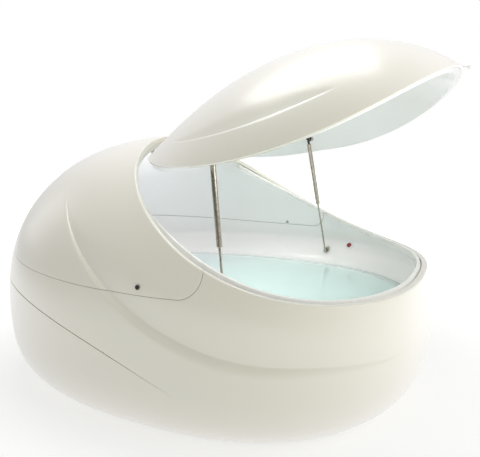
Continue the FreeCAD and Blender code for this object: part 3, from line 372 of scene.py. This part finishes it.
# Height at the foot end, rise per metre of reach, where the rise starts, and its power.
RIM_LINE = (603.0, 354.0, 1082.0, 2.27)
BODY_SWAGE_LINE = (362.0, 515.0, 694.0, 1.94)
LID_SWAGE_LIFT = 123.0
LEDGE_SLANT = 0.6
TAPER_POWER, LEAST_TAPER = 0.7, 0.25
SWAGE_PLACES, SLOPE_STEP = 90, 2.0

UPRIGHT_START, UPRIGHT_SPAN = 700.0, 465.0
RIM_BEVEL, RIM_BEVEL_ROUND = 2.0, 0.6
ROUND_STEPS = 5

HOOD_SEAM_X, HOOD_SEAM_HEIGHT, HOOD_SEAM_RADIUS = 325.0, 640.0, 11000.0
HOOD_CORNER_RADIUS = 90.0
SKIRT_SEAM_X, SKIRT_SEAM_HEIGHT, SKIRT_SEAM_RADIUS = -1180.0, -2822.0, 3418.0
SKIRT_GAP, SKIRT_GAP_END = 4.0, 320.0
SEAM_HALF_GAP = 0.7

COLUMNS = 320
COLUMN_ANGLES = (np.arange(COLUMNS) + 0.5) * 2 * math.pi / COLUMNS
BAND_ROOM, LEAST_BAND = 0.1, 0.02
HIGHEST_RISE = 0.99999
NEAR_POLE = math.asin(HIGHEST_RISE)
UNDER_BELT = -0.2
HALVINGS = 48
TINY = 1e-12
NORMAL_STEP = 1e-4
SWAGE_NORMAL_STEP = 4e-4
RIM_NORMAL_STEP = 2e-3


def smooth_step(value):
    value = np.clip(value, 0.0, 1.0)
    return value * value * (3 - 2 * value)


def unit(vectors):
    return vectors / np.maximum(np.linalg.norm(vectors, axis=-1, keepdims=True), TINY)


def find_change(low, high, passed):
    """Place between low and high from which on passed holds, found by halving."""
    for _ in range(HALVINGS):
        middle = (low + high) / 2
        over = passed(middle)
        low, high = np.where(over, low, middle), np.where(over, middle, high)
    return (low + high) / 2


def rising_line(x, height, rise, start, power):
    """Height of a line that is level in front and climbs towards the hood."""
    return height + rise * (np.maximum(start - x, 0) / MM_PER_METRE) ** power


def rim_level(x):
    return rising_line(x, *RIM_LINE)


def body_swage_level(x):
    return rising_line(x, *BODY_SWAGE_LINE)


def lid_swage_level(x):
    return rim_level(x) + LID_SWAGE_LIFT


def egg_girth(share, upper):
    """Share of the full girth that is left at a share of the way to the crown or the tuck."""
    fullness = np.where(upper, CROWN_FULLNESS, TUCK_FULLNESS)
    return np.maximum(1 - share ** fullness, TINY) ** (1 / fullness)


def egg_point(phi, theta, inset=0.0):
    """Point of the egg's skin, or of the egg inside it; theta is 0 at the belt."""
    rise = np.sin(theta)
    upper = rise > 0
    share = np.minimum(np.abs(rise), 1.0)
    girth = egg_girth(share, upper)
    cosine, sine = np.cos(phi), np.sin(phi)
    reach = (np.abs(cosine) ** PLAN_FULLNESS + np.abs(sine) ** PLAN_FULLNESS) ** (-1 / PLAN_FULLNESS)
    height = np.where(upper, CROWN - BELT - inset, TUCK - inset)
    setback = np.where(upper, CROWN_SETBACK * share ** 3, 0.0)
    x = (HALF_LENGTH - inset) * girth * cosine * reach - setback
    y = (HALF_WIDTH - inset) * girth ** np.where(upper, CROWN_NARROWING, 1.0) * sine * reach
    return np.stack([x, y, BELT + height * rise], axis=-1)


def egg_half_width(x, z):
    """Half-width of the egg above one place."""
    rise = np.clip((z - BELT) / np.where(z > BELT, CROWN - BELT, TUCK), -1, 1)
    upper = rise > 0
    share = np.abs(rise)
    girth = egg_girth(share, upper)
    centre = np.where(upper, -CROWN_SETBACK * share ** 3, 0.0)
    along = np.minimum(np.abs(x - centre) / (HALF_LENGTH * girth), 1.0)
    width = HALF_WIDTH * girth ** np.where(upper, CROWN_NARROWING, 1.0)
    return width * (1 - along ** PLAN_FULLNESS) ** (1 / PLAN_FULLNESS)


class Swage:
    """Ledge along a line on both sides that fades out above it."""

    def __init__(self, level, start, end, depth, ledge, fade):
        self.level, self.start, self.end = level, start, end
        self.depth, self.ledge, self.fade = depth, ledge, fade
        self.places = np.linspace(start, end, SWAGE_PLACES)
        self.steepness = self.find_steepness(self.places, SLOPE_STEP)

    def find_steepness(self, x, step):
        """How much of a climb over the skin, square to the line, is a climb in height."""
        z = self.level(x)
        ahead_z, behind_z = self.level(x + step), self.level(x - step)
        tilt = egg_half_width(x, z + step) - egg_half_width(x, z - step)
        narrowing = egg_half_width(x + step, ahead_z) - egg_half_width(x - step, behind_z)
        whole = np.full_like(z, 2 * step)
        ahead = np.stack([whole, narrowing, ahead_z - behind_z], axis=-1)
        above = np.stack([np.zeros_like(z), tilt, whole], axis=-1)
        outward = np.cross(above, ahead)
        return np.abs(unit(np.cross(outward, ahead))[:, 2])

    def rise_at(self, point):
        """Height above the line, scaled like the swage where that tapers, and the taper."""
        x, z = point[..., 0], point[..., 2]
        share = np.clip((x - self.start) / (self.end - self.start), 0, 1)
        taper = np.sin(math.pi * share) ** TAPER_POWER
        steepness = np.interp(x, self.places, self.steepness)
        return (z - self.level(x)) / steepness / np.maximum(taper, LEAST_TAPER), taper

    def depth_at(self, point):
        rise, taper = self.rise_at(point)
        climb = np.clip(rise / self.ledge, 0, 1)
        ledge = climb * (climb + LEDGE_SLANT) / (1 + LEDGE_SLANT)
        hollow = 1 - smooth_step((rise - self.ledge) / self.fade)
        return self.depth * taper * np.where(rise < self.ledge, ledge, hollow)

    def theta_at(self, phi, rise, low, high):
        """Where each column of the skin reaches a height above the line."""
        return find_change(low, high, lambda theta: self.rise_at(egg_point(phi, theta))[0] > rise)


BODY_SWAGE = Swage(body_swage_level, start=-430.0, end=1085.0, depth=14.0, ledge=48.0, fade=200.0)
LID_SWAGE = Swage(lid_swage_level, start=120.0, end=760.0, depth=6.0, ledge=18.0, fade=100.0)


def normal_of(surface, phi, theta, step):
    around = surface(phi + step, theta) - surface(phi - step, theta)
    upward = surface(phi, theta + step) - surface(phi, theta - step)
    return unit(np.cross(around, upward))


def skin_point(phi, theta, swage):
    """Point of the egg's skin with the swage pressed into it."""
    point = egg_point(phi, theta)
    return point - normal_of(egg_point, phi, theta, NORMAL_STEP) * swage.depth_at(point)[..., None]


def skin_normal(phi, theta, swage):
    return normal_of(lambda *angles: skin_point(*angles, swage), phi, theta, SWAGE_NORMAL_STEP)


def rim_theta(phi, lift):
    """Where each column of the skin meets the rim's surface, lifted by a height."""
    def passed(theta):
        point = egg_point(phi, theta)
        return point[..., 2] > rim_level(point[..., 0]) + lift
    return find_change(np.full_like(phi, UNDER_BELT), np.full_like(phi, NEAR_POLE), passed)


def rim_point(phi, lift, inset):
    """Point of the rim's face: level on the low front, upright on the hood."""
    theta = rim_theta(phi, lift)
    upright = smooth_step((egg_point(phi, theta)[..., 2] - UPRIGHT_START) / UPRIGHT_SPAN)
    rise = np.sin(theta) * ((CROWN - BELT) / (CROWN - BELT - inset)) ** (1 - upright)
    return egg_point(phi, np.arcsin(np.minimum(rise, HIGHEST_RISE)), inset)


def hood_distance(point):
    """Distance outside the hood's seam, a shallow arc with a round corner; negative on the hood."""
    x, z = point[..., 0] - HOOD_SEAM_X, point[..., 2] - HOOD_SEAM_HEIGHT
    seam = HOOD_SEAM_RADIUS - np.sqrt(HOOD_SEAM_RADIUS ** 2 - x ** 2) - z
    corner = np.hypot(x, z - HOOD_CORNER_RADIUS) - HOOD_CORNER_RADIUS
    front = x - HOOD_CORNER_RADIUS
    return np.where(x <= 0, seam, np.where(z < HOOD_CORNER_RADIUS, corner, front))


def skirt_distance(point):
    """Distance above the service skirt's seam; negative on the skirt."""
    return np.hypot(point[..., 0] - SKIRT_SEAM_X, point[..., 2] - SKIRT_SEAM_HEIGHT) - SKIRT_SEAM_RADIUS


def skirt_gap(point):
    """Width of the skirt's seam, which closes towards the front."""
    return SKIRT_GAP * np.clip((SKIRT_GAP_END - point[..., 0]) / SKIRT_GAP_END, 0, 1)


def turn_open(vectors):
    """Turn vectors of the shut lid into its open rest pose."""
    cosine, sine = math.cos(OPEN_ANGLE), math.sin(OPEN_ANGLE)
    x, y, z = vectors[:, 0], vectors[:, 1], vectors[:, 2]
    return np.stack([x * cosine - z * sine, y, x * sine + z * cosine], axis=-1)


# -- meshes of the outer mouldings ---------------------------------------------------------

Rim = namedtuple("Rim", "lift radius row")
BODY_RIM = Rim(lift=0.0, radius=6.0, row="top")
LID_RIM = Rim(lift=LID_GAP, radius=3.0, row="bottom")


def row_marks(swage, low, high, highest):
    """Where the bands of rows start and end: low, the swage's foot and ridge, and high.

    highest is the share of the reach that the foot may climb to.
    """
    reach = high - low
    foot = swage.theta_at(COLUMN_ANGLES, 0.0, low, high)
    foot = np.clip(foot, low + BAND_ROOM * reach, low + highest * reach)
    ridge = swage.theta_at(COLUMN_ANGLES, swage.ledge, low, high)
    ridge = np.clip(ridge, foot + LEAST_BAND * reach, low + (highest + BAND_ROOM) * reach)
    return low, foot, ridge, high


class Moulding:
    """Closed shell between the skin and the egg inside it, kept where a field is positive.

    Its grid has columns round the egg and rows up it, and a rim closes one end of the columns.
    """

    def __init__(self, swage, wall, rim, marks, rows, keep):
        self.swage, self.wall, self.rim, self.keep = swage, wall, rim, keep
        self.up = 1 if rim.row == "top" else -1
        bands = [start[:, None] + (end - start)[:, None] * (np.arange(count) / count)
                 for count, start, end in zip(rows, marks, marks[1:])]
        self.theta = np.concatenate(bands + [marks[-1][:, None]], axis=1)
        self.phi = np.repeat(COLUMN_ANGLES[:, None], self.theta.shape[1], axis=1)
        self.index = np.arange(self.phi.size).reshape(self.phi.shape)
        self.points, self.faces, self.normals = [], [], []

    def add_points(self, points):
        start = len(self.points)
        self.points += points.tolist()
        return np.arange(start, len(self.points))

    def add_face(self, corners, normals):
        self.faces.append(corners.tolist())
        self.normals += normals.tolist()

    def cut_edges(self, kept):
        """All corners, with one more where the cut crosses an edge, and its number by edge."""
        phi, theta, crossing = self.phi.ravel(), self.theta.ravel(), {}
        around = (self.index, np.roll(self.index, -1, axis=0))
        upward = (self.index[:, :-1], self.index[:, 1:])
        for first, second in (around, upward):
            mixed = kept[first] != kept[second]
            one, two = first[mixed], second[mixed]
            inside, outside = np.where(kept[one], (one, two), (two, one))
            phi_in, theta_in = phi[inside], theta[inside]
            turn = (phi[outside] - phi_in + math.pi) % (2 * math.pi) - math.pi
            climb = theta[outside] - theta_in
            share = find_change(
                np.zeros_like(turn), np.ones_like(turn),
                lambda part: self.keep(egg_point(phi_in + turn * part, theta_in + climb * part)) <= 0)
            for number, pair in enumerate(zip(one.tolist(), two.tolist()), start=len(phi)):
                crossing[pair] = crossing[pair[::-1]] = number
            phi = np.append(phi, phi_in + turn * share)
            theta = np.append(theta, theta_in + climb * share)
        return phi, theta, crossing

    def cut_cells(self):
        """Kept part of every cell, as corner numbers, and the open edges by kind."""
        kept = (self.keep(egg_point(self.phi, self.theta)) > 0).ravel()
        phi, theta, crossing = self.cut_edges(kept)
        after = np.roll(self.index, -1, axis=0)
        corners = (self.index[:, :-1], after[:, :-1], after[:, 1:], self.index[:, 1:])
        corners = np.stack(corners, axis=-1).reshape(-1, 4)
        ends = {"bottom": set(self.index[:, 0].tolist()), "top": set(self.index[:, -1].tolist())}
        cells, edges = [], []
        for cell in corners[kept[corners].any(axis=1)].tolist():
            outline, kinds = [], []
            for start, end in zip(cell, cell[1:] + cell[:1]):
                row = next((name for name, row in ends.items() if start in row and end in row), None)
                if kept[start]:
                    outline.append(start)
                    kinds.append(row)
                if kept[start] != kept[end]:
                    outline.append(crossing[start, end])
                    kinds.append(row if kept[end] else "cut")
            cells.append(outline)
            edges += [edge for edge in zip(kinds, outline, outline[1:] + outline[:1]) if edge[0]]
        return phi, theta, cells, edges

    def add_skins(self, phi, theta, cells):
        """Outer and inner face of every cell; gives the numbers of their points."""
        outer = self.add_points(skin_point(phi, theta, self.swage))
        inner = self.add_points(egg_point(phi, theta, self.wall))
        normals = skin_normal(phi, theta, self.swage)
        for cell in cells:
            back = cell[::-1]
            self.add_face(outer[cell], normals[cell])
            self.add_face(inner[back], -normals[back])
        return outer, inner

    def rim_rows(self, phi):
        """Points over the rim's rounded edge, its face and its small inner bevel."""
        turns = [math.pi / 2 * step / ROUND_STEPS for step in range(1, ROUND_STEPS + 1)]
        radius = self.rim.radius
        profile = [(radius * (1 - math.cos(turn)), radius * (1 - math.sin(turn))) for turn in turns]
        profile.append((self.wall - RIM_BEVEL, 0.0))
        profile.append((self.wall - RIM_BEVEL_ROUND, RIM_BEVEL_ROUND))
        profile.append((self.wall, RIM_BEVEL))
        return [rim_point(phi, self.rim.lift - self.up * drop, inset) for inset, drop in profile]

    def add_rim_rows(self, phi, theta, outer, inner):
        """Point numbers from the skin over the rim to the inside, row by row, and their normals."""
        rows = [self.add_points(points) for points in self.rim_rows(phi)]
        levels = np.array([outer] + rows + [inner])
        ahead, behind = [[egg_point(angles, theta)] + self.rim_rows(angles)
                         for angles in (phi + RIM_NORMAL_STEP, phi - RIM_NORMAL_STEP)]
        around = np.array(ahead) - np.array(behind)
        around = np.concatenate([around, around[:1]])
        across = np.gradient(np.array(self.points)[levels], axis=0)
        normals = unit(np.cross(around, across) * self.up)
        normals[0] = skin_normal(phi, theta, self.swage)
        return levels, normals

    def add_rim_faces(self, levels, normals, first, second):
        columns = [second, first, first, second]
        for level in range(len(levels) - 1):
            rows = [level, level, level + 1, level + 1]
            self.add_face(levels[rows, columns], normals[rows, columns])

    def add_wall(self, corners):
        """Flat face between the skin and the inside, along a seam or the floor."""
        places = np.array([self.points[corner] for corner in corners])
        normal = unit(np.cross(places[2] - places[0], places[3] - places[1]))
        self.add_face(corners, np.tile(normal, (4, 1)))

    def add_crown(self, outer, inner):
        """Small level faces that close the skin and the inside at the top."""
        for ring, upward in ((outer, 1.0), (inner[::-1], -1.0)):
            self.add_face(ring, np.tile((0.0, 0.0, upward), (len(ring), 1)))

    def build(self, name, hinge=None):
        phi, theta, cells, edges = self.cut_cells()
        used = sorted({corner for cell in cells for corner in cell})
        slot = {corner: number for number, corner in enumerate(used)}
        phi, theta = phi[used], theta[used]
        outer, inner = self.add_skins(phi, theta, [[slot[corner] for corner in cell] for cell in cells])
        edges = [(kind, slot[first], slot[second]) for kind, first, second in edges]
        rim = sorted({corner for kind, *pair in edges if kind == self.rim.row for corner in pair})
        column = {corner: number for number, corner in enumerate(rim)}
        if rim:
            levels, normals = self.add_rim_rows(phi[rim], theta[rim], outer[rim], inner[rim])
        if self.rim.row == "bottom":
            crown = [slot[corner] for corner in self.index[:, -1].tolist()]
            self.add_crown(outer[crown], inner[crown])
            edges = [edge for edge in edges if edge[0] != "top"]
        for kind, first, second in edges:
            if kind == self.rim.row:
                self.add_rim_faces(levels, normals, column[first], column[second])
            else:
                self.add_wall(np.array([outer[second], outer[first], inner[first], inner[second]]))
        return self.finish(name, hinge)

    def finish(self, name, hinge):
        points, normals = np.array(self.points), np.array(self.normals)
        if hinge is not None:
            points = turn_open(points - hinge) + hinge
            normals = turn_open(normals)
        made = show_mesh(name, (points / MM_PER_METRE).tolist(), self.faces)
        made.data.normals_split_custom_set(normals.tolist())
        return made


def dress_moulding(made, node, body, finish):
    made.data.materials.append(finish)
    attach(made, body)
    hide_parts(node)


def build_body_mouldings(finish):
    """Tub, hood and service skirt, each a part of the same shell."""
    floor = np.full_like(COLUMN_ANGLES, -math.asin((BELT - FLOOR_GAP) / TUCK))
    rim = rim_theta(COLUMN_ANGLES, BODY_RIM.lift - BODY_RIM.radius)
    marks = row_marks(BODY_SWAGE, floor, rim, highest=0.82)
    pieces = (
        ("tub_skin", "tub_outer_shell",
         lambda place: np.minimum(hood_distance(place) - SEAM_HALF_GAP, skirt_distance(place))),
        ("hood_skin", "hood_outer_shell",
         lambda place: -SEAM_HALF_GAP - hood_distance(place)),
        ("service_skirt", "rear_service_skirt",
         lambda place: -skirt_gap(place) - skirt_distance(place)),
    )
    for name, node, keep in pieces:
        form = Moulding(BODY_SWAGE, BODY_WALL, BODY_RIM, marks, rows=(44, 10, 60), keep=keep)
        dress_moulding(form.build(name), node, "tank_body", finish)


def build_lid_moulding(finish):
    """Whole lid skin, drawn shut and turned open."""
    rim = rim_theta(COLUMN_ANGLES, LID_RIM.lift + LID_RIM.radius)
    crown = np.full_like(COLUMN_ANGLES, NEAR_POLE)
    marks = row_marks(LID_SWAGE, rim, crown, highest=0.55)
    form = Moulding(LID_SWAGE, LID_WALL, LID_RIM, marks, rows=(24, 8, 60),
                    keep=lambda place: np.ones(place.shape[:-1]))
    dress_moulding(form.build("lid_skin", HINGE), "lid_outer_shell", "lid", finish)


# -- stage and light, in metres and watts ----------------------------------------------------

FLOOR_HALF_SIDE = 14.0
FLOOR_COLOR = (0.8, 0.8, 0.79, 1)
SEEN_GLOW, BOUNCED_GLOW = 0.52, 0.70
CABIN_LAMP_SIZE = 0.16
# The glow is weaker near the tank: painted shade on the floor around it, besides its real shadow.
NEAR_GLOW, FAR_GLOW = 1.2, 1.95
GLOW_CLIMB = (1.3, 3.0)
CAMERA_SIDE = (-0.45, -0.88, 0.10)


def show_white(tree, lit):
    """Mix with a white glow: one share for what the camera, metal and glass see, one for the bounce."""
    path = tree.add("ShaderNodeLightPath")
    seen = tree.math("MAXIMUM", path.outputs["Is Camera Ray"], path.outputs["Is Glossy Ray"])
    seen = tree.math("MAXIMUM", seen, path.outputs["Is Transmission Ray"])
    distance = tree.add("ShaderNodeVectorMath", operation="LENGTH")
    tree.link(tree.place(), distance.inputs[0])
    glow = tree.add("ShaderNodeEmission")
    # weaker glow near the tank: painted shade round its base
    strength = tree.span(distance.outputs["Value"], *GLOW_CLIMB, NEAR_GLOW, FAR_GLOW)
    tree.link(strength, glow.inputs["Strength"])
    share = tree.math("MULTIPLY_ADD", seen, SEEN_GLOW - BOUNCED_GLOW, BOUNCED_GLOW)
    return tree.mix_shaders(share, lit, glow.outputs[0])


def build_stage():
    """White floor that keeps the soft shadow, with a weaker glow near the tank that paints the floor there
    darker.
    """
    half = FLOOR_HALF_SIDE
    corners = [(-half, -half, 0), (half, -half, 0), (half, half, 0), (-half, half, 0)]
    floor = show_mesh("floor", corners, [(0, 1, 2, 3)])
    white = bpy.data.materials.new("floor_white")
    tree = Tree(white)
    lit = tree.add("ShaderNodeBsdfDiffuse")
    lit.inputs["Color"].default_value = FLOOR_COLOR
    output = tree.add("ShaderNodeOutputMaterial")
    tree.link(show_white(tree, lit.outputs[0]), output.inputs[0])
    floor.data.materials.append(white)


def build_world():
    """Bright studio all round, dimmer on the side where the camera stands, seen as plain white."""
    world = bpy.data.worlds.new("studio")
    bpy.context.scene.world = world
    tree = Tree(world)
    place = tree.place("Generated")
    toward = tree.add("ShaderNodeVectorMath", operation="DOT_PRODUCT")
    toward.inputs[1].default_value = CAMERA_SIDE
    tree.link(place, toward.inputs[0])
    front = tree.span(toward.outputs["Value"], -0.1, 0.85)
    above = tree.span(tree.parts(place)[2], 0.25, 0.9)
    side = tree.mix(front, (0.66, 0.66, 0.66), (0.20, 0.198, 0.185))
    studio = tree.background(tree.mix(above, side, (0.60, 0.60, 0.605)))
    path = tree.add("ShaderNodeLightPath")
    seen = tree.math("MAXIMUM", path.outputs["Is Camera Ray"], path.outputs["Is Transmission Ray"])
    output = tree.add("ShaderNodeOutputWorld")
    tree.link(tree.mix_shaders(seen, studio, tree.background((1.0, 1.0, 1.0))), output.inputs[0])


def add_light(name, kind, position, power):
    data = bpy.data.lights.new(name, kind)
    data.energy = power
    lamp = bpy.data.objects.new(name, data)
    lamp.location = position
    bpy.context.collection.objects.link(lamp)
    return lamp


def add_panel(name, position, aim, width, height, power):
    """Soft rectangular lamp that faces its aim."""
    lamp = add_light(name, "AREA", position, power)
    lamp.data.shape = "RECTANGLE"
    lamp.data.size = width
    lamp.data.size_y = height
    lamp.rotation_euler = (Vector(aim) - Vector(position)).to_track_quat("-Z", "Y").to_euler()


def add_cabin_lamp(name, position, power, color):
    """Faint light inside the tank, as such a tank has of its own."""
    lamp = add_light(name, "POINT", position, power)
    lamp.data.color = color
    lamp.data.shadow_soft_size = CABIN_LAMP_SIZE
    lamp.visible_camera = False
    lamp.visible_glossy = False


def build_lights():
    add_panel("key_right", (3.6, -0.6, 2.4), aim=(0.2, 0, 0.6), width=2.4, height=1.8, power=43)
    add_panel("overhead", (-0.1, 0.2, 3.6), aim=(0, 0, 0.5), width=2.4, height=1.6, power=56)
    add_panel("fill_left", (-3.4, -0.6, 1.9), aim=(-0.2, 0, 0.6), width=1.2, height=1.6, power=6)
    add_cabin_lamp("cabin_rear", (-0.50, 0.0, 0.90), power=3.4, color=(1.0, 0.92, 1.0))
    add_panel("cabin_front", (0.25, 0.0, 1.05), aim=(0.35, 0.05, 0.4), width=0.7, height=0.5, power=2.5)


place_camera()
build_stage()
build_world()
build_lights()
MATERIALS = {name: material(name, **recipe) for name, recipe in RECIPES.items()}
dress_cad_nodes(MATERIALS)
build_water(MATERIALS["water"])
build_body_mouldings(MATERIALS["pearl_shell"])
build_lid_moulding(MATERIALS["pearl_shell"])

bpy.context.scene.view_settings.view_transform = "Standard"
